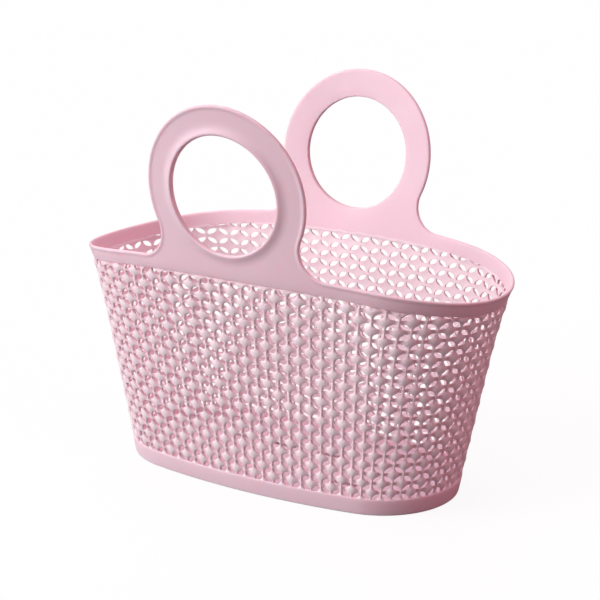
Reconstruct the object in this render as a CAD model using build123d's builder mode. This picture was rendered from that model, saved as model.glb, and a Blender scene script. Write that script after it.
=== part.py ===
"""Shower caddy: an oval tapered basket with open lattice walls, an arched rim and two ring handles.

The basket is longest along X and its handles stand over the two long sides, at -Y and +Y.
The origin is the middle of the ring that it stands on, with +Z up. Lengths are in millimetres.
"""

import os
from math import atan2, cos, degrees, radians, sin, tan

from build123d import *

# Basket plan: two ovals of four arcs, one at the foot and one at the mouth, with the same turn in like arcs
BASE_LENGTH = 246.0
BASE_WIDTH = 120.0
MOUTH_LENGTH = 317.0
MOUTH_WIDTH = 162.0
SIDE_ARC_ANGLE = 20.0

# Arched rim: highest over the long sides, lower at the two ends
RIM_HEIGHT = 161.5
RIM_DROP = 14.4
RIM_END_ANGLE = 13.6
RIM_BAND_HEIGHT = 9.8

# Base
BASE_BAND_HEIGHT = 11.8
BASE_EDGE_CHAMFER = 1.4
FLOOR_RECESS = 2.0
FLOOR_THICKNESS = 2.4
DRAIN_SLOT_LENGTH = 18.0
DRAIN_SLOT_WIDTH = 4.5
DRAIN_SLOT_COLUMNS = 4
DRAIN_SLOT_ROWS = 2
DRAIN_SLOT_SPACING_X = 36.0
DRAIN_SLOT_SPACING_Y = 40.0

# Walls: the bands stand proud of the lattice on the outside
BAND_WALL = 2.8
LATTICE_INSET = 1.0
LATTICE_WALL = 2.6

# Lattice: leaf-shaped openings along the diagonals of a grid, leaning by turns to either side
COLUMNS_PER_ARC = 9
CORNER_COLUMNS = 3
LATTICE_ROWS = 6
LEAF_TIP = 0.40
LEAF_SHOULDER_ALONG = 0.16
LEAF_SHOULDER_ACROSS = 0.17

# Ring handles, which lean outward and have a thick lip round the hole and a bead along the edge
HANDLE_LEAN = 9.3
HANDLE_INSET = 4.0
HANDLE_THICKNESS = 4.0
FACE_DISH = 1.0
RING_CENTRE_HEIGHT = 47.0
RING_HOLE_RADIUS = 39.5
RING_WIDTH = 19.5
LIP_WIDTH = 3.4
LIP_RISE = 1.0
EDGE_BEAD_WIDTH = 3.0

# Necks of the handles, which bend about a line just above the rim
NECK_AXIS_HEIGHT = 4.0
NECK_FILLET = 18.0
NECK_CLEARANCE = 0.3
NECK_LIP_ANGLE = 55.0
NECK_HEEL_DROP = 1.8
NECK_ROOT_MARGIN = 0.8

# Worked out from the sizes above
WALL_TOP = RIM_HEIGHT + RIM_DROP
HALF_MOUTH = MOUTH_LENGTH / 2
LATTICE_DEPTH = LATTICE_INSET + LATTICE_WALL
RING_OUTER_RADIUS = RING_HOLE_RADIUS + RING_WIDTH
HANDLE_BACK = -HANDLE_THICKNESS / 2
HANDLE_FRONT = HANDLE_THICKNESS / 2
HANDLE_FACE = HANDLE_FRONT - FACE_DISH
NECK_THICKNESS = HANDLE_THICKNESS - FACE_DISH
GROOVE_RADIUS = NECK_THICKNESS / 2 + NECK_CLEARANCE
ROOT_TOP = NECK_AXIS_HEIGHT - GROOVE_RADIUS * sin(radians(NECK_LIP_ANGLE))
FILLET_CENTRE_HEIGHT = NECK_FILLET - NECK_HEEL_DROP
FILLET_REACH = RING_OUTER_RADIUS + NECK_FILLET
FILLET_CENTRE_X = (FILLET_REACH**2 - (RING_CENTRE_HEIGHT - FILLET_CENTRE_HEIGHT) ** 2) ** 0.5
WAIST_DROP = (RING_CENTRE_HEIGHT - FILLET_CENTRE_HEIGHT) * RING_OUTER_RADIUS / FILLET_REACH
WAIST_HEIGHT = RING_CENTRE_HEIGHT - WAIST_DROP
WAIST_HALF_WIDTH = FILLET_CENTRE_X * RING_OUTER_RADIUS / FILLET_REACH
WAIST_ANGLE = degrees(atan2(RING_CENTRE_HEIGHT - WAIST_HEIGHT, WAIST_HALF_WIDTH))
NECK_HALF_WIDTH = FILLET_CENTRE_X - (NECK_FILLET**2 - (FILLET_CENTRE_HEIGHT - NECK_AXIS_HEIGHT) ** 2) ** 0.5


def half_sizes(height):
    """Half length and half width of the outer wall at a height."""
    share = height / RIM_HEIGHT
    half_length = (BASE_LENGTH + (MOUTH_LENGTH - BASE_LENGTH) * share) / 2
    half_width = (BASE_WIDTH + (MOUTH_WIDTH - BASE_WIDTH) * share) / 2
    return half_length, half_width


def oval_arcs(height, inset):
    """Centre, radius, start angle and turn of the four arcs of the wall's plan, from the right end round."""
    half_length, half_width = half_sizes(height)
    lean = SIDE_ARC_ANGLE / 2
    across = cos(radians(lean))
    along = sin(radians(lean))
    centre_gap = (half_length - half_width) / (along + across - 1)
    end_radius = half_length - centre_gap * along
    side_radius = end_radius + centre_gap
    end_turn = 180 - SIDE_ARC_ANGLE
    return [
        ((centre_gap * along, 0), end_radius - inset, lean - 90, end_turn),
        ((0, -centre_gap * across), side_radius - inset, 90 - lean, SIDE_ARC_ANGLE),
        ((-centre_gap * along, 0), end_radius - inset, 90 + lean, end_turn),
        ((0, centre_gap * across), side_radius - inset, 270 - lean, SIDE_ARC_ANGLE),
    ]


def oval(height, inset):
    """Face of the wall's plan at a height, drawn inward by inset."""
    with BuildSketch() as plan:
        with BuildLine():
            for centre, radius, start, turn in oval_arcs(height, inset):
                CenterArc(centre, radius, start, turn)
        make_face()
    return plan.sketch


def tapered_solid(inset, top=WALL_TOP, top_inset=None):
    """The basket's tapered form from the foot to a top, drawn inward by inset, or otherwise at the top."""
    with BuildPart() as form:
        with BuildSketch(Plane.XY):
            add(oval(0, inset))
        with BuildSketch(Plane.XY.offset(top)):
            add(oval(top, inset if top_inset is None else top_inset))
        loft(ruled=True)
    return form.part


def rim_top(x):
    """Height of the rim's top edge at a distance x along the basket."""
    share = abs(x) / HALF_MOUTH
    run = HALF_MOUTH * tan(radians(RIM_END_ANGLE))
    return RIM_HEIGHT + (run - 3 * RIM_DROP) * share**2 + (2 * RIM_DROP - run) * share**3


def arch_line(below):
    """Control points of the rim's arch over the right half, lowered by below."""
    end_height = RIM_HEIGHT - RIM_DROP - below
    rise = HALF_MOUTH / 3 * tan(radians(RIM_END_ANGLE))
    return [
        (0, RIM_HEIGHT - below),
        (HALF_MOUTH / 3, RIM_HEIGHT - below),
        (HALF_MOUTH * 2 / 3, end_height + rise),
        (HALF_MOUTH, end_height),
    ]


def arch_profile(below, depth):
    """Face, in the XZ plane, of the strip of the given depth under the rim's arch lowered by below."""
    with BuildSketch() as profile:
        with BuildLine():
            upper = Bezier(*arch_line(below))
            lower = Bezier(*arch_line(below + depth))
            Line(upper @ 1, lower @ 1)
            Line(lower @ 0, upper @ 0)
        make_face()
        mirror(about=Plane.YZ)
    return profile.sketch


def wall_angle(column):
    """Plan angle of the wall's normal on a grid column, and the arc that the column stands on."""
    arc, place = divmod(column % (4 * COLUMNS_PER_ARC), COLUMNS_PER_ARC)
    _, _, start, turn = oval_arcs(0, 0)[int(arc)]
    return radians(start + turn * place / COLUMNS_PER_ARC), int(arc)


def wall_point(column, height, inset):
    """Point of the wall on a whole grid column at a height."""
    angle, arc = wall_angle(column)
    centre, radius, _, _ = oval_arcs(height, inset)[arc]
    return Vector(*centre, height) + Vector(cos(angle), sin(angle), 0) * radius


def cell_plane(column, height):
    """Plane in the outer face of a wall strip, in the middle between two columns, with Y up the strip."""
    left = wall_point(column, height, LATTICE_INSET)
    right = wall_point(column + 1, height, LATTICE_INSET)
    low = wall_point(column, 0, LATTICE_INSET) + wall_point(column + 1, 0, LATTICE_INSET)
    up = (left + right - low).normalized()
    along = (right - left).normalized()
    return Plane(origin=(left + right) / 2, x_dir=along, z_dir=along.cross(up)), (right - left).length


def strip_outline(first, count, height):
    """Corners of a wall panel's section at a height: along its outer face, and back along its inner face."""
    columns = range(first, first + count + 1)
    outer = [wall_point(column, height, LATTICE_INSET) for column in columns]
    inner = [wall_point(column, height, LATTICE_DEPTH) for column in reversed(columns)]
    return [(point.X, point.Y) for point in outer + inner]


def leaf(width, height, lean):
    """Corners of one six-sided leaf opening, leaning right (1) or left (-1) in its grid cell."""
    low = LEAF_SHOULDER_ALONG - LEAF_SHOULDER_ACROSS
    high = LEAF_SHOULDER_ALONG + LEAF_SHOULDER_ACROSS
    half = [(LEAF_TIP, LEAF_TIP), (low, high), (-high, -low)]
    corners = half + [(-x, -y) for x, y in half]
    return [(x * width * lean, y * height) for x, y in corners]


def lattice_panel(first, count):
    """Open wall of flat strips, one to a grid column, between the base band and the rim band."""
    with BuildPart() as panel:
        for height in (0, WALL_TOP):
            with BuildSketch(Plane.XY.offset(height)):
                Polygon(*strip_outline(first, count, height), align=None)
        loft(ruled=True)
        with BuildSketch(Plane.XZ):
            add(arch_profile(RIM_BAND_HEIGHT, RIM_HEIGHT))
        extrude(amount=MOUTH_WIDTH, both=True, mode=Mode.INTERSECT)
        split(bisect_by=Plane.XY.offset(BASE_BAND_HEIGHT), keep=Keep.TOP)
        for column in range(first, first + count):
            strip_middle = cell_plane(column, RIM_HEIGHT)[0].origin
            strip_top = rim_top(strip_middle.X) - RIM_BAND_HEIGHT
            pitch = (strip_top - BASE_BAND_HEIGHT) / LATTICE_ROWS
            for row in range(LATTICE_ROWS):
                plane, width = cell_plane(column, BASE_BAND_HEIGHT + pitch * (row + 0.5))
                lean = 1 if (column + row) % 2 else -1
                with BuildSketch(plane):
                    Polygon(*leaf(width, pitch, lean), align=None)
        extrude(amount=2 * LATTICE_WALL, both=True, mode=Mode.SUBTRACT)
    return panel.part


def handle_plane(toward=0):
    """Plane of the front handle's middle, X along the basket, Y up the handle, moved outward by toward."""
    lean = radians(HANDLE_LEAN)
    outward = Vector(0, -cos(lean), -sin(lean))
    middle = Vector(0, HANDLE_INSET - MOUTH_WIDTH / 2, RIM_HEIGHT)
    return Plane(origin=middle + outward * toward, x_dir=(1, 0, 0), z_dir=outward)


HANDLE_MIDDLE = handle_plane()
NECK_MIDDLE = handle_plane(-FACE_DISH / 2)
NECK_AXIS_POINT = NECK_MIDDLE.from_local_coords(Vector(0, NECK_AXIS_HEIGHT, 0))
NECK_AXIS = Plane(origin=NECK_AXIS_POINT, x_dir=NECK_MIDDLE.y_dir, z_dir=(1, 0, 0))
RING_CENTRE = HANDLE_MIDDLE.from_local_coords(Vector(0, RING_CENTRE_HEIGHT, 0))
RING_AXIS = Axis(RING_CENTRE, HANDLE_MIDDLE.z_dir)
WAIST = HANDLE_MIDDLE.from_local_coords(Vector(WAIST_HALF_WIDTH, WAIST_HEIGHT, 0)) - RING_CENTRE
RING_SECTION_PLANE = Plane(origin=RING_CENTRE, x_dir=WAIST, z_dir=WAIST.cross(HANDLE_MIDDLE.z_dir))


def neck_outline(low, high):
    """Face of the neck between two heights, bounded by the two fillets that join the ring to the rim."""
    with BuildSketch() as outline:
        with Locations((0, (low + high) / 2)):
            Rectangle(2 * FILLET_CENTRE_X, high - low)
        with Locations((FILLET_CENTRE_X, FILLET_CENTRE_HEIGHT), (-FILLET_CENTRE_X, FILLET_CENTRE_HEIGHT)):
            Circle(NECK_FILLET, mode=Mode.SUBTRACT)
    return outline.sketch


def lip_section():
    """Section of the thick lip round the hole, radius by distance outward."""
    slope_end = RING_HOLE_RADIUS + LIP_WIDTH + LIP_RISE
    with BuildSketch() as section:
        with BuildLine():
            Polyline(
                (RING_HOLE_RADIUS, HANDLE_BACK),
                (slope_end, HANDLE_BACK),
                (slope_end, HANDLE_FACE),
                (RING_HOLE_RADIUS + LIP_WIDTH, HANDLE_FRONT + LIP_RISE),
                (RING_HOLE_RADIUS, HANDLE_FRONT + LIP_RISE),
                close=True,
            )
        make_face()
    return section.sketch


def bead_section():
    """Section of the bead along the ring's edge, radius by distance outward."""
    bead_edge = RING_OUTER_RADIUS - EDGE_BEAD_WIDTH
    with BuildSketch() as section:
        with BuildLine():
            Polyline(
                (bead_edge - FACE_DISH, HANDLE_FACE),
                (RING_OUTER_RADIUS, HANDLE_FACE),
                (RING_OUTER_RADIUS, HANDLE_FRONT),
                (bead_edge, HANDLE_FRONT),
                close=True,
            )
        make_face()
    return section.sketch


def mirrored(part, *planes):
    """Copy of a part mirrored in one plane after another."""
    with BuildPart() as copy:
        for plane in planes:
            part = mirror(part, about=plane, mode=Mode.PRIVATE)
        add(part)
    return copy.part


def finish(part, name):
    """Label a finished piece and write it to its own file."""
    part.label = name
    export_step(part, f"parts/{name}.step")


os.makedirs("parts", exist_ok=True)

# Base band, which the basket stands on
with BuildPart() as base_band:
    add(tapered_solid(0))
    foot = tapered_solid(BASE_EDGE_CHAMFER, BASE_BAND_HEIGHT, BASE_EDGE_CHAMFER - BASE_BAND_HEIGHT)
    add(foot, mode=Mode.INTERSECT)
    add(tapered_solid(BAND_WALL), mode=Mode.SUBTRACT)
finish(base_band.part, "base_band")

# Floor with its drain slots, inside the base band
with BuildPart() as base_floor:
    add(tapered_solid(BAND_WALL))
    split(bisect_by=Plane.XY.offset(FLOOR_RECESS), keep=Keep.TOP)
    split(bisect_by=Plane.XY.offset(FLOOR_RECESS + FLOOR_THICKNESS), keep=Keep.BOTTOM)
    with BuildSketch(Plane.XY.offset(FLOOR_RECESS)):
        with GridLocations(DRAIN_SLOT_SPACING_X, DRAIN_SLOT_SPACING_Y, DRAIN_SLOT_COLUMNS, DRAIN_SLOT_ROWS):
            Rectangle(DRAIN_SLOT_LENGTH, DRAIN_SLOT_WIDTH)
    extrude(amount=FLOOR_THICKNESS, mode=Mode.SUBTRACT)
finish(base_floor.part, "base_floor")

# Lattice walls: one side, one end and one corner, mirrored to the others
CORNER_START = 0
END_START = CORNER_COLUMNS
SIDE_START = 3 * COLUMNS_PER_ARC
END_COLUMNS = COLUMNS_PER_ARC - 2 * CORNER_COLUMNS
front_lattice = lattice_panel(SIDE_START, COLUMNS_PER_ARC)
right_lattice = lattice_panel(END_START, END_COLUMNS)
front_right_lattice = lattice_panel(CORNER_START, CORNER_COLUMNS)
finish(front_lattice, "front_lattice")
finish(mirrored(front_lattice, Plane.XZ), "back_lattice")
finish(right_lattice, "right_lattice")
finish(mirrored(right_lattice, Plane.YZ), "left_lattice")
finish(front_right_lattice, "front_right_lattice")
finish(mirrored(front_right_lattice, Plane.YZ), "front_left_lattice")
finish(mirrored(front_right_lattice, Plane.XZ), "back_right_lattice")
finish(mirrored(front_right_lattice, Plane.XZ, Plane.YZ), "back_left_lattice")

# Root of a handle: the part of the neck under the bending line, with a groove that the handle turns in
with BuildPart() as handle_root:
    with BuildSketch(NECK_MIDDLE):
        add(neck_outline(NECK_ROOT_MARGIN - RIM_BAND_HEIGHT, ROOT_TOP))
    extrude(amount=NECK_THICKNESS / 2, both=True)
    add(tapered_solid(0), mode=Mode.INTERSECT)
    with Locations(NECK_AXIS):
        Cylinder(GROOVE_RADIUS, MOUTH_LENGTH, mode=Mode.SUBTRACT)

# Rim band with the roots of both handles
with BuildPart() as rim_band:
    add(tapered_solid(0))
    with BuildSketch(Plane.XZ):
        add(arch_profile(0, RIM_BAND_HEIGHT))
    extrude(amount=MOUTH_WIDTH, both=True, mode=Mode.INTERSECT)
    add(tapered_solid(BAND_WALL), mode=Mode.SUBTRACT)
    add(handle_root.part)
    mirror(handle_root.part, about=Plane.XZ)
finish(rim_band.part, "rim_band")

# Ring handle with its neck, whose lower edge is round about the bending line
with BuildPart() as front_handle:
    with BuildSketch(NECK_MIDDLE):
        with Locations((0, RING_CENTRE_HEIGHT)):
            Circle(RING_OUTER_RADIUS)
        with Locations((0, NECK_AXIS_HEIGHT)):
            Rectangle(MOUTH_LENGTH, RING_OUTER_RADIUS, align=(Align.CENTER, Align.MAX), mode=Mode.SUBTRACT)
        add(neck_outline(NECK_AXIS_HEIGHT, WAIST_HEIGHT))
    extrude(amount=NECK_THICKNESS / 2, both=True)
    with Locations(NECK_AXIS):
        Cylinder(NECK_THICKNESS / 2, 2 * NECK_HALF_WIDTH)
    with BuildSketch(RING_SECTION_PLANE):
        add(bead_section())
    revolve(axis=RING_AXIS, revolution_arc=180 + 2 * WAIST_ANGLE)
    with BuildSketch(HANDLE_MIDDLE):
        with Locations((0, RING_CENTRE_HEIGHT)):
            Circle(RING_HOLE_RADIUS + LIP_WIDTH / 2)
    extrude(amount=HANDLE_THICKNESS, both=True, mode=Mode.SUBTRACT)
    with BuildSketch(RING_SECTION_PLANE):
        add(lip_section())
    revolve(axis=RING_AXIS)
finish(front_handle.part, "front_handle")
finish(mirrored(front_handle.part, Plane.XZ), "back_handle")
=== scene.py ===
"""Looks of a pink shower caddy: a pierced oval basket with two ring handles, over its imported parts."""

from math import atan, atan2, cos, pi, radians, sin, tan

import bmesh
import bpy
import numpy as np
from bpy.props import FloatProperty, FloatVectorProperty, IntProperty, PointerProperty
from mathutils import Matrix, Vector


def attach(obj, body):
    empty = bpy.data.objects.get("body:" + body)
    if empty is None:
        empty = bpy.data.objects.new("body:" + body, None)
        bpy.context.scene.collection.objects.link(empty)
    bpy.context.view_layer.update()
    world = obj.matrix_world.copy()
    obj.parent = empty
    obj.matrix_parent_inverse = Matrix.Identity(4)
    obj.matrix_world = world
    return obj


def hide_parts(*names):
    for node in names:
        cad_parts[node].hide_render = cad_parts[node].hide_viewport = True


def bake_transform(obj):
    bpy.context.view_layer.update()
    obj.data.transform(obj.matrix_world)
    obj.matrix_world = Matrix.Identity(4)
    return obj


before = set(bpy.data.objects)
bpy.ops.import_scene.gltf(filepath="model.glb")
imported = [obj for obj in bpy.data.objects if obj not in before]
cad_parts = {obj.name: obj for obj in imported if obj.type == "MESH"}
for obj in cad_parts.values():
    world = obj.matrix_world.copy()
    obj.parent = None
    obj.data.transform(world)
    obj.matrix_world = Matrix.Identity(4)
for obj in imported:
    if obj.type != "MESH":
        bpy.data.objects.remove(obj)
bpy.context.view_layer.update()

bl_info = {
    "name": "Pink shower caddy",
    "version": (1, 0, 0),
    "blender": (4, 5, 0),
    "location": "View3D > Sidebar > Caddy",
    "description": "Builds a pierced plastic basket with two ring handles round its packed parts",
    "category": "Add Mesh",
}

MM = 0.001
# Nearness at which points are one: of the wall's cells, as a turn and a height, and of patches
WELD_TURN = 1e-5
WELD_LENGTH = 1e-6
WELD_POINTS = 0.004 * MM
THIN_EDGE = 0.001 * MM
# Name of the value that a mesh carries for painted shade: how deep a point lies between the knobs, which
# draws its colour towards a deeper, darker pink
RECESS_SHADE = "recess_shade"
BASKET_BODY = "basket"
# The wall's plan is four arcs, counted from the right end. The last is the front
SIDE_ARC = 3
ARCS = 4
FRONT_MIDDLE = SIDE_ARC + 0.5
# Rounds of the search for a rim's height and for a fillet's centre
ARCH_ROUNDS = 5
FILLET_ROUNDS = 6


def length(name, description, millimetres):
    """Property of one length, written in millimetres."""
    return FloatProperty(
        name=name, description=description, default=millimetres * MM, unit="LENGTH", precision=5
    )


def angle(name, description, degrees):
    """Property of one angle, written in degrees."""
    return FloatProperty(name=name, description=description, default=radians(degrees), subtype="ANGLE")


def count(name, description, default):
    """Property of one count."""
    return IntProperty(name=name, description=description, default=default)


def ratio(name, description, default):
    """Property of one plain number, such as a share of a cell."""
    return FloatProperty(name=name, description=description, default=default)


def colour(name, description, red, green, blue):
    """Property of one linear colour."""
    return FloatVectorProperty(
        name=name, description=description, default=(red, green, blue), size=3, min=0, max=1, subtype="COLOR"
    )


class CaddyBasketSizes(bpy.types.PropertyGroup):
    """Sizes of the basket's tapered oval wall and its two plain bands"""

    base_length: length("Foot length", "Length of the outer wall at the foot", 246)
    base_width: length("Foot width", "Width of the outer wall at the foot", 120)
    mouth_length: length("Mouth length", "Length of the outer wall at the rim's height", 310)
    mouth_width: length("Mouth width", "Width of the outer wall at the rim's height", 162)
    end_flare: length("End flare", "How far the ends swing out at the rim beyond the straight taper", 3.6)
    flare_start: length("Flare start", "Height at which the ends start to swing out", 95)
    side_arc_angle: angle("Side arc", "Turn of the arc along each long side", 20)
    rim_height: length("Rim height", "Height of the rim at the middle of a long side", 161.5)
    rim_drop: length("Rim drop", "How far the rim falls towards the ends", 14.4)
    rim_end_angle: angle("Rim end angle", "Slope of the rim at the ends", 13.6)
    rim_band_height: length("Rim band", "Height of the plain band under the rim", 9.8)
    base_band_height: length("Base band", "Height of the plain band at the foot", 11.8)
    band_wall: length("Band wall", "Thickness of the plain bands", 2.8)
    face_inset: length("Face inset", "How far the band's face lies in from its edge bead", 0.5)
    face_roll: length("Face roll", "How much further the rim band's face lies in at its lower edge", 0.6)
    roll_height: length("Roll height", "Height over the lower edge at which the roll ends", 6.5)


class CaddyLatticeSizes(bpy.types.PropertyGroup):
    """Counts and sizes of the pierced wall"""

    side_columns: count("Side columns", "Columns of leaves along a long side", 22)
    end_columns: count("End columns", "Columns of leaves round an end", 24)
    side_spread: ratio("Side spread", "Share of a side arc that they take", 0.975)
    first_row: length("First row", "Height of the lowest row of knobs", 16.6)
    row_pitch: length("Row pitch", "Height from one row to the next", 6.72)
    rows: count("Rows", "Rows of leaves from the foot to the rim", 22)
    leaf_width: ratio("Leaf width", "Width of a leaf, in cells", 0.82)
    leaf_height: ratio("Leaf height", "Height of a leaf, in cells", 0.66)
    leaf_bulge: ratio("Leaf bulge", "1 is two quarter arcs, less is fuller", 0.84)
    knob_width: ratio("Knob width", "Half width of a knob's dome, in cells", 0.58)
    knob_height: ratio("Knob height", "Half height of a knob's dome, in cells", 0.58)
    strand_height: ratio("Strand height", "Half height of a strand, in cells", 0.24)
    stake_width: ratio("Stake width", "Half width of a stake, in cells", 0.12)
    knob_inset: length("Knob inset", "Depth of a knob's crown under the band's face", 0.1)
    strand_inset: length("Strand inset", "Depth of a strand's ridge, which runs behind the stakes", 1.8)
    stake_inset: length("Stake inset", "Depth of a stake's ridge under the band's face", 0.7)
    edge_inset: length("Edge inset", "Greatest depth of a leaf's outer edge", 2.1)
    inner_inset: length("Inner inset", "Depth of the wall's inner face", 2.6)
    ledge: length("Ledge", "How far the wall stands in from its inner face under the rim band", 0.7)
    ledge_height: length("Ledge height", "Height of that ledge from its foot to the wall's top", 2.4)
    tuck: length("Tuck", "How far the wall reaches up behind the rim band's face", 0.9)
    tucked_inset: length("Tucked inset", "Least depth of the wall behind the rim band's face", 1.8)
    dimple: length("Dimple", "Depth of the hollow behind a knob", 0.5)


class CaddyHandleSizes(bpy.types.PropertyGroup):
    """Sizes of the two ring handles"""

    ring_centre: length("Ring centre", "Height of the ring's centre over the rim, along the handle", 47)
    hole_radius: length("Hole radius", "Radius of the hole for the hand", 39.5)
    ring_width: length("Ring width", "Width of the ring from hole to edge", 19.5)
    neck_fillet: length("Neck fillet", "Radius of the curve from the ring to the rim", 18)
    lean: angle("Lean", "Outward lean of the handles", 9.3)
    bend_start: length("Bend start", "Start of the elastic bend under the bending line", 3.2)
    bend_end: length("Bend end", "End of the elastic bend over the bending line", 10)


class CaddyFinish(bpy.types.PropertyGroup):
    """Colours of the plastic and of the stage"""

    plastic: colour("Plastic", "Moulded pink plastic", 0.84, 0.63, 0.71)
    plastic_drift: colour("Plastic drift", "Tone that the plastic drifts to in patches", 0.82, 0.60, 0.685)
    # Painted light: the wall's tones are the same plastic as the bands, painted paler to stand in for the
    # fill light on its relief
    lattice: colour("Lattice", "Pink plastic of the pierced wall", 0.90, 0.755, 0.815)
    lattice_drift: colour("Lattice drift", "Tone that the wall drifts to in patches", 0.88, 0.725, 0.79)
    # Painted shade: a deeper, darker pink laid on the wall's sunk places and hole walls, where shade falls
    recess_shade_colour: colour("Plastic recess", "Deep pink of the wall's recesses", 0.88, 0.58, 0.65)
    paper: colour("Paper", "Floor and surroundings", 1.0, 1.0, 1.0)


def wall_arcs(sizes, height):
    """Outer wall's plan at heights: the distance between arc centres, the end and the side radius."""
    share = height / sizes.rim_height
    half_length = (sizes.base_length + (sizes.mouth_length - sizes.base_length) * share) / 2
    half_width = (sizes.base_width + (sizes.mouth_width - sizes.base_width) * share) / 2
    lean = sizes.side_arc_angle / 2
    gap = (half_length - half_width) / (sin(lean) + cos(lean) - 1)
    end_radius = half_length - gap * sin(lean)
    return gap, end_radius, end_radius + gap


def end_swing(sizes, heading, height):
    """How far the two ends swing out towards the rim, most at their tips."""
    corner = sin(sizes.side_arc_angle / 2)
    tip = np.clip((np.abs(np.cos(heading)) - corner) / (1 - corner), 0, 1)
    end_top = sizes.rim_height - sizes.rim_drop
    above = np.clip(height, sizes.flare_start, sizes.rim_height) - sizes.flare_start
    rise = above / (end_top - sizes.flare_start)
    return sizes.end_flare * tip * rise**2


def wall_points(sizes, turn, height, inset):
    """Points of the wall. turn counts arcs from the right end's front corner, and inset goes inward."""
    turn, height, inset = np.broadcast_arrays(*(np.asarray(value, float) for value in (turn, height, inset)))
    lean = sizes.side_arc_angle / 2
    gap, end_radius, side_radius = wall_arcs(sizes, height)
    arc = np.floor(turn).astype(int) % ARCS
    share = turn - np.floor(turn)
    starts = np.array([lean - pi / 2, pi / 2 - lean, pi / 2 + lean, 3 * pi / 2 - lean])
    turns = np.array([pi - 2 * lean, 2 * lean, pi - 2 * lean, 2 * lean])
    heading = starts[arc] + turns[arc] * share
    radius = np.where(arc % 2 == 0, end_radius, side_radius) - inset
    across = np.array([1, 0, -1, 0])[arc] * (gap * sin(lean) + end_swing(sizes, heading, height))
    along = np.array([0, -1, 0, 1])[arc] * gap * cos(lean)
    return np.stack([across + radius * np.cos(heading), along + radius * np.sin(heading), height], -1)


def rim_rise(sizes, across):
    """Height of the rim's arch over or under the rim height, at distances from the middle."""
    half = sizes.mouth_length / 2
    share = np.abs(across) / half
    run = half * tan(sizes.rim_end_angle)
    return (run - 3 * sizes.rim_drop) * share**2 + (2 * sizes.rim_drop - run) * share**3


def rim_height_at(sizes, turn):
    """Height of the rim's arch above a place on the wall."""
    height = np.full(np.shape(turn), sizes.rim_height)
    for _ in range(ARCH_ROUNDS):
        across = wall_points(sizes, turn, height, 0)[..., 0]
        height = sizes.rim_height + rim_rise(sizes, across)
    return height


def front_turn(sizes, across, height):
    """Place on the front arc, as a turn, of points at a distance from the middle."""
    side_radius = wall_arcs(sizes, height)[2]
    return FRONT_MIDDLE + np.arcsin(across / side_radius) / sizes.side_arc_angle


class Shell:
    """Quads gathered patch by patch, welded where patches meet."""

    def __init__(self):
        self.points = []
        self.quads = []
        self.count = 0

    def grid(self, points, flip=False):
        """One patch of rows and columns of points."""
        rows, columns = points.shape[:2]
        index = np.arange(rows * columns).reshape(rows, columns) + self.count
        quads = np.stack([index[:-1, :-1], index[:-1, 1:], index[1:, 1:], index[1:, :-1]], -1).reshape(-1, 4)
        self.points.append(points.reshape(-1, 3))
        self.quads.append(quads[:, ::-1] if flip else quads)
        self.count += rows * columns

    def mesh(self, name):
        """Mesh of all the patches, with near points joined and every face smooth."""
        made = bpy.data.meshes.new(name)
        made.from_pydata(np.concatenate(self.points).tolist(), [], np.concatenate(self.quads).tolist())
        welded = bmesh.new()
        welded.from_mesh(made)
        bmesh.ops.remove_doubles(welded, verts=welded.verts, dist=WELD_POINTS)
        bmesh.ops.dissolve_degenerate(welded, edges=welded.edges, dist=THIN_EDGE)
        welded.to_mesh(made)
        welded.free()
        made.shade_smooth()
        return made


def place(mesh, material, *replaced):
    """Object of a mesh in the scene, with its finish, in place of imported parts."""
    piece = bpy.data.objects.new(mesh.name, mesh)
    bpy.context.scene.collection.objects.link(piece)
    mesh.materials.append(material)
    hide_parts(*replaced)
    return piece


# Finish of the plastic

# Range in which a noise's values bunch
NOISE_LOW = 0.32
NOISE_HIGH = 0.68
# Noises as scale per metre and detail
PATCH_SCALE = 14.0
PATCH_DETAIL = 3.0
GLOSS_NOISE = (60.0, 4.0)
GRAIN_NOISE = (1800.0, 2.0)
GRAIN_STRENGTH = 0.5
PLASTIC_IOR = 1.5
# What a group's colour sockets hold until a material sets them
UNSET_PINK = (0.8, 0.5, 0.6, 1)

def new_group(name, inputs, outputs):
    """Empty shader node group with float or colour sockets, given as name, kind and default."""
    group = bpy.data.node_groups.new(name, "ShaderNodeTree")
    for direction, sockets in (("INPUT", inputs), ("OUTPUT", outputs)):
        for label, kind, default in sockets:
            socket = group.interface.new_socket(name=label, in_out=direction, socket_type=kind)
            socket.default_value = default
    return group, group.nodes.new("NodeGroupInput"), group.nodes.new("NodeGroupOutput")


def noise_node(nodes, links, scale, detail, coordinates):
    """Noise in object space."""
    noise = nodes.new("ShaderNodeTexNoise")
    noise.inputs["Scale"].default_value = scale
    noise.inputs["Detail"].default_value = detail
    links.new(coordinates, noise.inputs["Vector"])
    return noise.outputs["Fac"]


def range_node(nodes, links, value, low, high):
    """Map a noise, whose values bunch round a half, to a range given by two sockets or numbers."""
    mapped = nodes.new("ShaderNodeMapRange")
    mapped.inputs["From Min"].default_value = NOISE_LOW
    mapped.inputs["From Max"].default_value = NOISE_HIGH
    links.new(value, mapped.inputs["Value"])
    for socket, bound in (("To Min", low), ("To Max", high)):
        if isinstance(bound, bpy.types.NodeSocket):
            links.new(bound, mapped.inputs[socket])
        else:
            mapped.inputs[socket].default_value = bound
    return mapped.outputs["Result"]


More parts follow.
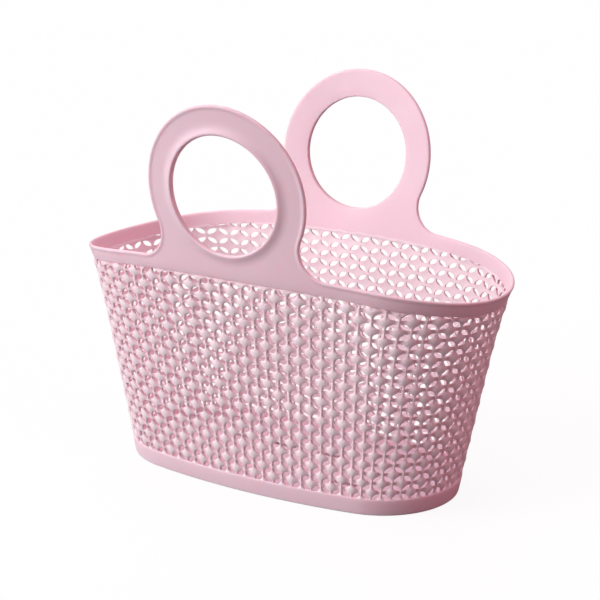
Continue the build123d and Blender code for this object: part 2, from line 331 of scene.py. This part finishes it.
def tone_drift_group():
    """Broad, faint drift of a plastic's colour from the flow of the melt."""
    group, given, made = new_group(
        "tone_drift",
        [
            ("Colour", "NodeSocketColor", UNSET_PINK),
            ("Drift Colour", "NodeSocketColor", UNSET_PINK),
            ("Patch Scale", "NodeSocketFloat", PATCH_SCALE),
        ],
        [("Colour", "NodeSocketColor", UNSET_PINK)],
    )
    nodes, links = group.nodes, group.links
    coordinates = nodes.new("ShaderNodeTexCoord").outputs["Object"]
    patches = nodes.new("ShaderNodeTexNoise")
    patches.inputs["Detail"].default_value = PATCH_DETAIL
    links.new(coordinates, patches.inputs["Vector"])
    links.new(given.outputs["Patch Scale"], patches.inputs["Scale"])
    mix = nodes.new("ShaderNodeMix")
    mix.data_type = "RGBA"
    links.new(range_node(nodes, links, patches.outputs["Fac"], 0.0, 1.0), mix.inputs["Factor"])
    links.new(given.outputs["Colour"], mix.inputs["A"])
    links.new(given.outputs["Drift Colour"], mix.inputs["B"])
    links.new(mix.outputs["Result"], made.inputs["Colour"])
    return group


def moulded_grain_group():
    """Satin grain of a moulded face: a roughness that varies and a fine height."""
    group, given, made = new_group(
        "moulded_grain",
        [
            ("Smoothest", "NodeSocketFloat", 0.4),
            ("Roughest", "NodeSocketFloat", 0.5),
        ],
        [("Roughness", "NodeSocketFloat", 0.45), ("Height", "NodeSocketFloat", 0.0)],
    )
    nodes, links = group.nodes, group.links
    coordinates = nodes.new("ShaderNodeTexCoord").outputs["Object"]
    broad = noise_node(nodes, links, *GLOSS_NOISE, coordinates)
    links.new(
        range_node(nodes, links, broad, given.outputs["Smoothest"], given.outputs["Roughest"]),
        made.inputs["Roughness"],
    )
    links.new(noise_node(nodes, links, *GRAIN_NOISE, coordinates), made.inputs["Height"])
    return group


def plastic_material(name, tones, smoothest, roughest, grain_depth, soak, reach):
    """Pink plastic with its own gloss, depth of grain, and share and reach of the light that soaks in."""
    existing = bpy.data.materials.get(name)
    if existing:
        return existing
    finish = bpy.context.scene.caddy_finish
    material = bpy.data.materials.new(name)
    material.use_nodes = True
    nodes, links = material.node_tree.nodes, material.node_tree.links
    shader = nodes["Principled BSDF"]
    shader.inputs["IOR"].default_value = PLASTIC_IOR
    # Light soaks into the thin walls, red the furthest, and the shaded side glows deep pink
    shader.inputs["Subsurface Weight"].default_value = soak
    shader.inputs["Subsurface Radius"].default_value = reach
    shader.inputs["Subsurface Scale"].default_value = 1.0
    tone = nodes.new("ShaderNodeGroup")
    tone.node_tree = bpy.data.node_groups.get("tone_drift") or tone_drift_group()
    tone.inputs["Colour"].default_value = (*tones[0], 1)
    tone.inputs["Drift Colour"].default_value = (*tones[1], 1)
    grain = nodes.new("ShaderNodeGroup")
    grain.node_tree = bpy.data.node_groups.get("moulded_grain") or moulded_grain_group()
    grain.inputs["Smoothest"].default_value = smoothest
    grain.inputs["Roughest"].default_value = roughest
    bump = nodes.new("ShaderNodeBump")
    bump.inputs["Distance"].default_value = grain_depth
    bump.inputs["Strength"].default_value = GRAIN_STRENGTH
    # Painted shade: the mesh's recess value draws the tone towards the deeper recess pink; meshes without
    # that value keep their tone
    recess_shade = nodes.new("ShaderNodeAttribute")
    recess_shade.attribute_name = RECESS_SHADE
    recess_shaded_tone = nodes.new("ShaderNodeMix")
    recess_shaded_tone.data_type = "RGBA"
    recess_shaded_tone.inputs["B"].default_value = (*finish.recess_shade_colour, 1)
    links.new(recess_shade.outputs["Fac"], recess_shaded_tone.inputs["Factor"])
    links.new(tone.outputs["Colour"], recess_shaded_tone.inputs["A"])
    links.new(recess_shaded_tone.outputs["Result"], shader.inputs["Base Color"])
    links.new(grain.outputs["Roughness"], shader.inputs["Roughness"])
    links.new(grain.outputs["Height"], bump.inputs["Height"])
    links.new(bump.outputs["Normal"], shader.inputs["Normal"])
    return material


def band_plastic():
    """Satin plastic of the handles and bands."""
    finish = bpy.context.scene.caddy_finish
    tones = (finish.plastic, finish.plastic_drift)
    return plastic_material(
        "satin_pink_plastic", tones, smoothest=0.46, roughest=0.56, grain_depth=0.015 * MM,
        soak=0.4, reach=(2.2 * MM, 0.8 * MM, 0.9 * MM),
    )


def lattice_plastic():
    """Plastic of the pierced wall, duller than the bands, and painted paler than their plastic as painted
    light on its relief.
    """
    finish = bpy.context.scene.caddy_finish
    tones = (finish.lattice, finish.lattice_drift)
    return plastic_material(
        "lattice_pink_plastic", tones, smoothest=0.56, roughest=0.66, grain_depth=0.02 * MM,
        soak=0.0, reach=(2.0 * MM, 0.8 * MM, 0.9 * MM),
    )


def floor_plastic():
    """Duller plastic of the basket's floor."""
    finish = bpy.context.scene.caddy_finish
    tones = (finish.plastic, finish.plastic_drift)
    return plastic_material(
        "floor_pink_plastic", tones, smoothest=0.48, roughest=0.60, grain_depth=0.03 * MM,
        soak=0.4, reach=(3.0 * MM, 0.6 * MM, 0.7 * MM),
    )


# Rim band with a ring handle, one half of the basket


# Sections as millimetres from the edge and inset from the wall's outer face
RIM_EDGE = [
    (3.4, None), (2.7, 0.40), (2.1, 0.12), (1.5, 0.0), (0.9, 0.05), (0.4, 0.32), (0.1, 0.8), (0.0, 1.4),
    (0.1, 2.0), (0.4, 2.45), (0.9, 2.72), (1.6, 2.8), (3.4, 2.8),
]
HOLE_EDGE = [
    (8.0, None), (6.2, 0.36), (4.6, 0.02), (3.3, -0.45), (2.3, -0.9), (1.5, -1.15), (0.9, -1.2), (0.4, -1.0),
    (0.1, -0.55), (0.0, 0.1), (0.0, 1.8), (0.1, 2.3), (0.5, 2.7), (1.1, 2.8), (8.0, 2.8),
]
LOWER_EDGE = [
    (0.9, None), (0.4, 1.06), (0.1, 1.22), (0.0, 1.5), (0.0, 2.2), (0.1, 2.55), (0.4, 2.76), (0.9, 2.8),
]
# Lower ends of the columns under the hole's middle, the waist's two sides and the fillet's foot,
# as shares of the foot's distance
SKIRT_PLACES = (0.0, 0.48, 0.52, 1.0)
SKIRT_ROWS = 10
RING_ROWS = 5
NECK_COLUMNS = 16
HOLE_COLUMNS = 28
RING_COLUMNS = 96
BAND_COLUMNS = 48
SLOPE_STEP = 0.1 * MM
# Width at the ends in which the two halves share their normals
SEAM = 0.01 * MM


class HandleOutline:
    """Outline of a handle and rim, unrolled: distances from the middle and heights over the rim."""

    def __init__(self, sizes, handle):
        self.sizes = sizes
        self.radius = handle.hole_radius + handle.ring_width
        self.hole = handle.hole_radius
        self.centre = handle.ring_centre
        self.fillet = handle.neck_fillet
        self.stretch = cos(handle.lean)
        reach = self.radius + self.fillet
        self.fillet_x, self.fillet_rise = self.radius, self.fillet
        for _ in range(FILLET_ROUNDS):
            outward = rim_rise(sizes, self.fillet_x + SLOPE_STEP)
            inward = rim_rise(sizes, self.fillet_x - SLOPE_STEP)
            self.foot_angle = atan(-((outward - inward) / (2 * SLOPE_STEP)))
            self.foot_x = self.fillet_x - self.fillet * sin(self.foot_angle)
            self.fillet_rise = rim_rise(sizes, self.foot_x) + self.fillet * cos(self.foot_angle)
            self.fillet_x = (reach**2 - (self.centre - self.fillet_rise) ** 2) ** 0.5
        self.waist = atan2(self.fillet_rise - self.centre, self.fillet_x)

    def wall(self, across, rise, inset):
        """Points on the wall from distances and rises."""
        rise = np.asarray(rise, float)
        height = self.sizes.rim_height + np.where(rise > 0, rise * self.stretch, rise)
        return wall_points(self.sizes, front_turn(self.sizes, across, height), height, inset)

    def circle(self, radius, heading):
        """Distances and rises on a circle about the ring's centre."""
        return radius * np.cos(heading), self.centre + radius * np.sin(heading)

    def neck(self, distance):
        """Distances and rises along the right fillet, from the rim up, kept a distance in from the edge."""
        start = 3 * pi / 2 - self.foot_angle
        end = self.waist + pi
        heading = np.linspace(start, end, NECK_COLUMNS + 1)
        radius = self.fillet + distance
        return self.fillet_x + radius * np.cos(heading), self.fillet_rise + radius * np.sin(heading)


def section(edge, face_inset):
    """Distances and insets of an edge's section, with the face's own inset where none is written."""
    distance = np.array([point[0] for point in edge]) * MM
    inset = np.array([face_inset if point[1] is None else point[1] * MM for point in edge])
    return distance, inset


def rolled_face(sizes, above):
    """Inset of the rim band's face at heights above its lower edge."""
    return sizes.face_inset + sizes.face_roll * np.clip(1 - above / sizes.roll_height, 0, 1) ** 2


def band_turns(outline):
    """Places of the band's columns, from beside the right fillet to the middle of the right end."""
    foot = float(front_turn(outline.sizes, outline.foot_x, outline.sizes.rim_height))
    corner = SIDE_ARC + 1.0
    end = SIDE_ARC + 1.5
    on_side = np.linspace(foot, corner, BAND_COLUMNS // 4, endpoint=False)
    on_end = np.linspace(corner, end, BAND_COLUMNS + 1)
    return np.concatenate([on_side, on_end])


def half_rim_shell(sizes, handle):
    """Shell of the front half of the rim band with its handle: the right half and its mirror, welded."""
    outline = HandleOutline(sizes, handle)
    turns = band_turns(outline)
    rim = rim_height_at(sizes, turns)
    rim_distance, rim_inset = section(RIM_EDGE, sizes.face_inset)
    hole_distance, hole_inset = section(HOLE_EDGE, sizes.face_inset)
    low_distance, low_inset = section(LOWER_EDGE, rolled_face(sizes, LOWER_EDGE[0][0] * MM))
    inner = sizes.band_wall
    bead, lip, heel = rim_distance[0], hole_distance[0], low_distance[0]
    top_angle = np.linspace(outline.waist, pi / 2, RING_COLUMNS // 2 + 1)
    hole_angle = np.linspace(-pi / 2, outline.waist, HOLE_COLUMNS + 1)
    shell = Shell()

    def rim_strip(distance, inset):
        """The outline a distance in from its edge: band, fillet and ring, from the end to the top."""
        band = wall_points(sizes, turns[::-1], rim[::-1] - distance, inset)
        neck = outline.wall(*outline.neck(distance), inset)
        ring = outline.wall(*outline.circle(outline.radius - distance, top_angle), inset)
        return np.concatenate([band, neck[1:], ring[1:]])

    def hole_strip(distance, inset):
        """The hole's outline at a distance out from its edge, from its lowest point to its top."""
        heading = np.concatenate([hole_angle, top_angle[1:]])
        return outline.wall(*outline.circle(outline.hole + distance, heading), inset)

    # Columns of the neck and band from their lower edge to what is over them, from the middle to the end
    line_radius = np.linspace(outline.hole + lip, outline.radius - bead, RING_ROWS + 1)
    line = outline.circle(line_radius, np.full(RING_ROWS + 1, outline.waist))
    under_hole = outline.circle(outline.hole + lip, hole_angle)
    neck = [values[::-1] for values in outline.neck(bead)]
    upper_x = np.concatenate([under_hole[0], line[0][1:], neck[0][1:]])
    upper_rise = np.concatenate([under_hole[1], line[1][1:], neck[1][1:]])
    upper_height = sizes.rim_height + np.where(upper_rise > 0, upper_rise * outline.stretch, upper_rise)
    upper_turn = front_turn(sizes, upper_x, upper_height)
    shares = [0, HOLE_COLUMNS, HOLE_COLUMNS + RING_ROWS, HOLE_COLUMNS + RING_ROWS + NECK_COLUMNS]
    lower_places = [place * outline.foot_x for place in SKIRT_PLACES]
    lower_x = np.interp(np.arange(len(upper_x)), shares, lower_places)
    lower_turn = front_turn(sizes, lower_x, sizes.rim_height)
    upper_turn = np.concatenate([upper_turn, turns[1:]])
    upper_height = np.concatenate([upper_height, rim[1:] - bead])
    lower_turn = np.concatenate([lower_turn, turns[1:]])
    lower_height = rim_height_at(sizes, lower_turn) - sizes.rim_band_height

    share = np.linspace(0, 1, SKIRT_ROWS + 1)[:, None]
    skirt_turn = lower_turn + (upper_turn - lower_turn) * share
    skirt_height = lower_height + heel + (upper_height - lower_height - heel) * share
    face = rolled_face(sizes, skirt_height - lower_height)
    shell.grid(wall_points(sizes, skirt_turn, skirt_height, face))
    shell.grid(wall_points(sizes, skirt_turn, skirt_height, inner), flip=True)
    ring = outline.circle(line_radius[:, None], top_angle[None, :])
    shell.grid(outline.wall(*ring, sizes.face_inset), flip=True)
    shell.grid(outline.wall(*ring, inner))
    shell.grid(np.stack([rim_strip(*pair) for pair in zip(rim_distance, rim_inset)]), flip=True)
    shell.grid(np.stack([hole_strip(*pair) for pair in zip(hole_distance, hole_inset)]))
    low = [
        wall_points(sizes, lower_turn, lower_height + up, depth)
        for up, depth in zip(low_distance, low_inset)
    ]
    shell.grid(np.stack(low), flip=True)
    right = list(zip(shell.points, shell.quads))
    for points, quads in right:
        shell.points.append(points * [-1, 1, 1])
        shell.quads.append(quads[:, ::-1] + shell.count)
    shell.count *= 2
    return shell


def half_rim(name, side, handle_body):
    """Piece of one half of the rim band with its handle. side is 1 at the front and -1 at the back."""
    sizes = bpy.context.scene.caddy_basket
    handle = bpy.context.scene.caddy_handle
    shell = half_rim_shell(sizes, handle)
    if side < 0:
        shell.points = [points * [1, -1, 1] for points in shell.points]
        shell.quads = [quads[:, ::-1] for quads in shell.quads]
    mesh = shell.mesh(name)
    # The halves meet at the ends, where their normals have to agree
    normals = [vertex.normal.copy() for vertex in mesh.vertices]
    for vertex, normal in zip(mesh.vertices, normals):
        if abs(vertex.co.y) < SEAM:
            normal.y = 0
            normal.normalize()
    mesh.normals_split_custom_set_from_vertices(normals)
    piece = place(mesh, band_plastic(), handle_body, "rim_band")
    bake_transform(piece)
    return piece


class CADDY_OT_rim_and_handles(bpy.types.Operator):
    """Build the rim band's two halves, each in one piece with its ring handle"""

    bl_idname = "caddy.rim_and_handles"
    bl_label = "Rim and handles"

    def execute(self, context):
        half_rim("front_rim_and_handle", 1, "front_handle")
        half_rim("back_rim_and_handle", -1, "back_handle")
        return {"FINISHED"}


# Base band

# Section of the base band as millimetres of inset and height
FOOT_SECTION = [
    (0.9, 0.0), (0.45, 0.1), (0.15, 0.4), (0.02, 0.9), (0.0, 2.0), (0.0, 5.0), (0.0, 8.0), (0.0, 11.0),
    (0.15, 11.5), (0.6, 11.8), (1.6, 11.8), (2.3, 11.7), (2.8, 11.2), (2.8, 8.0), (2.8, 4.6), (2.8, 0.6),
    (2.6, 0.0),
]
ROUND_COLUMNS = 240
FOOT_CREASE = radians(60)


class CADDY_OT_base_band(bpy.types.Operator):
    """Build the plain band that the basket stands on"""

    bl_idname = "caddy.base_band"
    bl_label = "Base band"

    def execute(self, context):
        sizes = context.scene.caddy_basket
        turns = np.linspace(0, ARCS, ROUND_COLUMNS + 1)
        loop = FOOT_SECTION + FOOT_SECTION[:1]
        rings = [wall_points(sizes, turns, height * MM, inset * MM) for inset, height in loop]
        shell = Shell()
        shell.grid(np.stack(rings))
        mesh = shell.mesh("foot_band")
        mesh.set_sharp_from_angle(angle=FOOT_CREASE)
        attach(place(mesh, band_plastic(), "base_band"), BASKET_BODY)
        return {"FINISHED"}


# Pierced wall

# A cell's outline runs by turns along a strand, from a cross to a knob,
# and down a stake, from a knob to a cross
LEAF_SWINGS = (90, 80, 68, 56, 45, 34, 22, 10)
STRAND_PLACES = (0.0, 0.16, 0.42, 0.70)
STAKE_PLACES = (0.0, 0.30, 0.58, 0.84)
LEAF_POINTS = 2 * len(LEAF_SWINGS)
RING_SHARES = (0.0, 0.22, 0.56, 1.0)
# Power of a crest's section: a half is half round, more is softer
ROUNDING = 0.46
LEAF_CREASE = radians(75)


def column_turns(lattice):
    """Places of the wall's wires, from the middle of the front, right round."""
    reach = lattice.side_spread / 2
    side = np.linspace(-reach, reach, lattice.side_columns, endpoint=False)
    end = np.linspace(reach, ARCS / 2 - reach, lattice.end_columns, endpoint=False)
    turns = FRONT_MIDDLE + np.concatenate([side, end, side + ARCS / 2, end + ARCS / 2])
    return np.roll(turns, -(lattice.side_columns // 2)) % ARCS


def cell_rings(lattice):
    """Points of a cell whose leaf points at its corners (0, 0) and (1, 1), from the leaf to the wires.

    A leaf's edge is two quarter arcs, so that its tips lie square in the corners between the wires."""
    swing = np.radians(LEAF_SWINGS)
    across = 0.5 - np.cos(swing) ** lattice.leaf_bulge
    up = np.sin(swing) ** lattice.leaf_bulge - 0.5
    half_leaf = np.stack([lattice.leaf_width * across, lattice.leaf_height * up], -1)
    strand = [(0.5 - place, 0.5) for place in STRAND_PLACES]
    stake = [(-0.5, 0.5 - place) for place in STAKE_PLACES]
    half_wires = np.array(strand + stake)
    leaf = np.concatenate([half_leaf, -half_leaf])
    wires = np.concatenate([half_wires, -half_wires])
    return 0.5 + np.stack([leaf + (wires - leaf) * share for share in RING_SHARES])


def lattice_depths(lattice, rings):
    """Outer and inner insets at a cell's points, and which points lie on the leaf's edge.

    Domed knobs stand at two corners, on stakes, and the strands run behind the stakes."""

    def rounded(offset, crest):
        """Inset of a rounded crest at shares of its half width."""
        return lattice.edge_inset - (lattice.edge_inset - crest) * np.clip(1 - offset**2, 0, 1) ** ROUNDING

    across, up = rings[..., 0], rings[..., 1]
    from_stake = np.minimum(across, 1 - across)
    from_strand = np.minimum(up, 1 - up)
    from_knob = np.minimum(
        np.hypot(across / lattice.knob_width, (1 - up) / lattice.knob_height),
        np.hypot((1 - across) / lattice.knob_width, up / lattice.knob_height),
    )
    knob = rounded(from_knob, lattice.knob_inset)
    stake = rounded(from_stake / lattice.stake_width, lattice.stake_inset)
    strand = rounded(from_strand / lattice.strand_height, lattice.strand_inset)
    outer = np.minimum(np.minimum(knob, stake), strand)
    inner = lattice.inner_inset - lattice.dimple * np.clip(1 - from_knob**2, 0, 1)
    on_edge = np.zeros_like(across)
    on_edge[0] = 1
    return outer.ravel(), inner.ravel(), on_edge.ravel()


def lattice_cells(lattice):
    """Turns, heights, insets and leaf edge marks of all the cells' points, and the quads between them."""
    turns = column_turns(lattice)
    steps = (np.roll(turns, -1) - turns) % ARCS
    rings = cell_rings(lattice)
    across, up = rings[..., 0].ravel(), rings[..., 1].ravel()
    depths = lattice_depths(lattice, rings)
    local = np.arange(across.size).reshape(len(RING_SHARES), LEAF_POINTS)
    following = np.roll(local, -1, axis=1)
    cell = np.stack([local[:-1], following[:-1], following[1:], local[1:]], -1).reshape(-1, 4)
    row, column = np.mgrid[0 : lattice.rows, 0 : len(turns)]
    row, column = row.reshape(-1, 1), column.reshape(-1, 1)
    leans_right = (row + column) % 2 == 1
    turn = turns[column] + np.where(leans_right, across, 1 - across) * steps[column]
    height = lattice.first_row + (row - 1 + up) * lattice.row_pitch
    offsets = (np.arange(len(row)) * across.size)[:, None, None]
    quads = np.where(leans_right[:, :, None], cell, cell[:, ::-1]) + offsets
    outer, inner, on_edge = (np.broadcast_to(depth, turn.shape).ravel() for depth in depths)
    return turn.ravel(), height.ravel(), outer, inner, on_edge, quads.reshape(-1, 4)


class CADDY_OT_pierced_wall(bpy.types.Operator):
    """Build the wall of leaf openings between wires and domed knobs"""

    bl_idname = "caddy.pierced_wall"
    bl_label = "Pierced wall"

    def execute(self, context):
        sizes = context.scene.caddy_basket
        lattice = context.scene.caddy_lattice
        turn, height, outer, inner, on_edge, quads = lattice_cells(lattice)
        # The wall ends at the base band and under the arch of the rim band
        floor = sizes.base_band_height
        ceiling = rim_height_at(sizes, turn) - sizes.rim_band_height + lattice.tuck
        outer = np.where(height > ceiling - 2 * lattice.tuck, np.maximum(outer, lattice.tucked_inset), outer)
        inner = np.where(height > ceiling - lattice.ledge_height, lattice.inner_inset + lattice.ledge, inner)
        ends = np.where(height >= ceiling, 1, np.where(height <= floor, -1, 0))
        height = np.clip(height, floor, ceiling)
        quads = quads[np.abs(ends[quads].sum(1)) < 4]
        # Cells share the points on their edges
        turn_step = np.round(turn % ARCS / WELD_TURN) % (ARCS / WELD_TURN)
        places = np.stack([turn_step, np.round(height / WELD_LENGTH)], -1)
        _, first, where = np.unique(places.astype(int), axis=0, return_index=True, return_inverse=True)
        quads = where.reshape(-1)[quads]
        kept = (turn, height, outer, inner, on_edge)
        turn, height, outer, inner, on_edge = (values[first] for values in kept)
        faces = [list(dict.fromkeys(quad)) for quad in quads.tolist()]
        faces = [face for face in faces if len(face) > 2]
        edges = {pair for face in faces for pair in zip(face, face[1:] + face[:1])}
        total = len(turn)
        open_edges = [(one, two) for one, two in sorted(edges) if (two, one) not in edges]
        walls = [[two, one, one + total, two + total] for one, two in open_edges]
        back = [[vertex + total for vertex in face[::-1]] for face in faces]
        points = np.concatenate([wall_points(sizes, turn, height, depth) for depth in (outer, inner)])
        mesh = bpy.data.meshes.new("pierced_wall")
        mesh.from_pydata(points.tolist(), [], faces + walls + back)
        mesh.validate()
        # Painted shade: outer points by how deep they sink between the knobs, and inner points on the leaf's
        # edge, take the deeper recess pink
        sunk = np.clip((outer - lattice.knob_inset) / (lattice.edge_inset - lattice.knob_inset), 0, 1)
        recess_shade = mesh.attributes.new(RECESS_SHADE, "FLOAT", "POINT")
        recess_shade.data.foreach_set("value", np.concatenate([sunk**2, on_edge]))
        mesh.shade_smooth()
        mesh.set_sharp_from_angle(angle=LEAF_CREASE)
        panels = [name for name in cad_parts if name.endswith("_lattice")]
        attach(place(mesh, lattice_plastic(), *panels), BASKET_BODY)
        return {"FINISHED"}


class CADDY_OT_basket_floor(bpy.types.Operator):
    """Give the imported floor, with its drain slots, its finish"""

    bl_idname = "caddy.basket_floor"
    bl_label = "Basket floor"

    def execute(self, context):
        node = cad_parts["base_floor"]
        node.data.materials.clear()
        node.data.materials.append(floor_plastic())
        return {"FINISHED"}


# Stage

VIEW_AZIMUTH = radians(31.424)
VIEW_ELEVATION = radians(16.501)
VIEW_ROLL = radians(0.367)
VIEW_DISTANCE = 1.1375
VIEW_TARGET = Vector((0, 0, 0.110))
IMAGE_SIDE = 600
FOCAL_PIXELS = 1666.6
AXIS_PIXEL = (293.66, 313.86)
SENSOR_WIDTH = 36.0


def add_camera():
    """Camera at the photograph's viewing angle."""
    data = bpy.data.cameras.new("view")
    data.sensor_width = SENSOR_WIDTH
    data.lens = FOCAL_PIXELS / IMAGE_SIDE * SENSOR_WIDTH
    data.shift_x = (IMAGE_SIDE / 2 - AXIS_PIXEL[0]) / IMAGE_SIDE
    data.shift_y = (AXIS_PIXEL[1] - IMAGE_SIDE / 2) / IMAGE_SIDE
    camera = bpy.data.objects.new("view", data)
    back = Vector((
        sin(VIEW_AZIMUTH) * cos(VIEW_ELEVATION),
        -cos(VIEW_AZIMUTH) * cos(VIEW_ELEVATION),
        sin(VIEW_ELEVATION),
    ))
    camera.matrix_world = (
        Matrix.Translation(VIEW_TARGET + back * VIEW_DISTANCE)
        @ (-back).to_track_quat("-Z", "Y").to_matrix().to_4x4()
        @ Matrix.Rotation(VIEW_ROLL, 4, "Z")
    )
    bpy.context.scene.collection.objects.link(camera)
    bpy.context.scene.camera = camera


# Lamps by azimuth from the front towards the left, elevation, share of a white card's full brightness,
# and colour. The pink one stands in for light that comes through the walls, as does the ambient's tint
LAMPS = {
    "key": (radians(44), radians(15), 1.17, (1.0, 1.0, 1.0)),
    "top": (radians(0), radians(88), 0.3, (1.0, 1.0, 1.0)),
    "back": (radians(135), radians(40), 0.24, (1.0, 1.0, 1.0)),
    "glow": (radians(-100), radians(30), 0.3, (1.0, 0.42, 0.48)),
}
LAMP_SPREAD = radians(52)
AMBIENT = (0.2, 0.13, 0.145)
# Brightness of the paper to light that falls on the basket, and the share of plain white that the camera sees
PAPER_BOUNCE = 0.16
PAPER_GLOW = 0.9
FLOOR_REACH = 20.0


def add_lamp(name, azimuth, elevation, share, tint):
    """Soft even lamp from far away."""
    data = bpy.data.lights.new(name, "SUN")
    data.angle = LAMP_SPREAD
    data.energy = share * pi
    data.color = tint
    lamp = bpy.data.objects.new(name, data)
    lamp.location = Vector((
        -sin(azimuth) * cos(elevation),
        -cos(azimuth) * cos(elevation),
        sin(elevation),
    ))
    lamp.rotation_mode = "QUATERNION"
    lamp.rotation_quaternion = (-lamp.location).to_track_quat("-Z", "Y")
    bpy.context.scene.collection.objects.link(lamp)


def add_surroundings(paper):
    """White to the camera, and a dim even light elsewhere."""
    world = bpy.data.worlds.new("studio")
    bpy.context.scene.world = world
    world.use_nodes = True
    nodes, links = world.node_tree.nodes, world.node_tree.links
    nodes.clear()
    rays = nodes.new("ShaderNodeLightPath")
    seen = nodes.new("ShaderNodeMath")
    seen.operation = "MAXIMUM"
    links.new(rays.outputs["Is Camera Ray"], seen.inputs[0])
    links.new(rays.outputs["Is Transmission Ray"], seen.inputs[1])
    bright = nodes.new("ShaderNodeBackground")
    bright.inputs["Color"].default_value = (*paper, 1)
    soft = nodes.new("ShaderNodeBackground")
    soft.inputs["Color"].default_value = (*AMBIENT, 1)
    mix = nodes.new("ShaderNodeMixShader")
    links.new(seen.outputs["Value"], mix.inputs["Fac"])
    links.new(soft.outputs["Background"], mix.inputs[1])
    links.new(bright.outputs["Background"], mix.inputs[2])
    output = nodes.new("ShaderNodeOutputWorld")
    links.new(mix.outputs["Shader"], output.inputs["Surface"])


def floor_material(paper):
    """White paper: plain to the light, and nearly white to the camera with a faint shadow."""
    material = bpy.data.materials.new("white_paper")
    material.use_nodes = True
    nodes, links = material.node_tree.nodes, material.node_tree.links
    nodes.clear()
    rays = nodes.new("ShaderNodeLightPath")
    tint = nodes.new("ShaderNodeMix")
    tint.data_type = "RGBA"
    tint.inputs["A"].default_value = (*[PAPER_BOUNCE * value for value in paper], 1)
    tint.inputs["B"].default_value = (*paper, 1)
    links.new(rays.outputs["Is Camera Ray"], tint.inputs["Factor"])
    matt = nodes.new("ShaderNodeBsdfDiffuse")
    links.new(tint.outputs["Result"], matt.inputs["Color"])
    glow = nodes.new("ShaderNodeEmission")
    glow.inputs["Color"].default_value = (*paper, 1)
    part = nodes.new("ShaderNodeMath")
    part.operation = "MULTIPLY"
    part.inputs[1].default_value = PAPER_GLOW
    links.new(rays.outputs["Is Camera Ray"], part.inputs[0])
    mix = nodes.new("ShaderNodeMixShader")
    links.new(part.outputs["Value"], mix.inputs["Fac"])
    links.new(matt.outputs["BSDF"], mix.inputs[1])
    links.new(glow.outputs["Emission"], mix.inputs[2])
    output = nodes.new("ShaderNodeOutputMaterial")
    links.new(mix.outputs["Shader"], output.inputs["Surface"])
    return material


class CADDY_OT_stage(bpy.types.Operator):
    """Lay the white floor and set the lamps and the camera"""

    bl_idname = "caddy.stage"
    bl_label = "Stage"

    def execute(self, context):
        paper = context.scene.caddy_finish.paper
        mesh = bpy.data.meshes.new("floor")
        corners = [(-1, -1), (1, -1), (1, 1), (-1, 1)]
        mesh.from_pydata([(x * FLOOR_REACH, y * FLOOR_REACH, 0) for x, y in corners], [], [(0, 1, 2, 3)])
        mesh.materials.append(floor_material(paper))
        floor = bpy.data.objects.new("floor", mesh)
        context.scene.collection.objects.link(floor)
        for name, settings in LAMPS.items():
            add_lamp(name, *settings)
        add_surroundings(paper)
        add_camera()
        context.scene.view_settings.view_transform = "Standard"
        return {"FINISHED"}


class CADDY_PT_panel(bpy.types.Panel):
    """Buttons and values of the caddy"""

    bl_idname = "CADDY_PT_panel"
    bl_label = "Shower caddy"
    bl_space_type = "VIEW_3D"
    bl_region_type = "UI"
    bl_category = "Caddy"

    def draw(self, context):
        layout = self.layout
        for operator in OPERATORS:
            layout.operator(operator.bl_idname)
        for group in SETTINGS:
            settings = getattr(context.scene, group)
            box = layout.box()
            for name in settings.bl_rna.properties.keys():
                if name not in ("rna_type", "name"):
                    box.prop(settings, name)


OPERATORS = (
    CADDY_OT_basket_floor,
    CADDY_OT_base_band,
    CADDY_OT_pierced_wall,
    CADDY_OT_rim_and_handles,
    CADDY_OT_stage,
)
SETTINGS = {
    "caddy_basket": CaddyBasketSizes,
    "caddy_lattice": CaddyLatticeSizes,
    "caddy_handle": CaddyHandleSizes,
    "caddy_finish": CaddyFinish,
}


def register():
    """Register the classes and hang the settings on the scene."""
    for group, settings in SETTINGS.items():
        bpy.utils.register_class(settings)
        setattr(bpy.types.Scene, group, PointerProperty(type=settings))
    for operator in (*OPERATORS, CADDY_PT_panel):
        bpy.utils.register_class(operator)


def unregister():
    """Take the classes and settings away again."""
    for operator in (CADDY_PT_panel, *reversed(OPERATORS)):
        bpy.utils.unregister_class(operator)
    for group, settings in SETTINGS.items():
        delattr(bpy.types.Scene, group)
        bpy.utils.unregister_class(settings)


def main():
    """Build every piece and the stage."""
    register()
    bpy.ops.caddy.basket_floor()
    bpy.ops.caddy.base_band()
    bpy.ops.caddy.pierced_wall()
    bpy.ops.caddy.rim_and_handles()
    bpy.ops.caddy.stage()


if __name__ == "__main__":
    main()
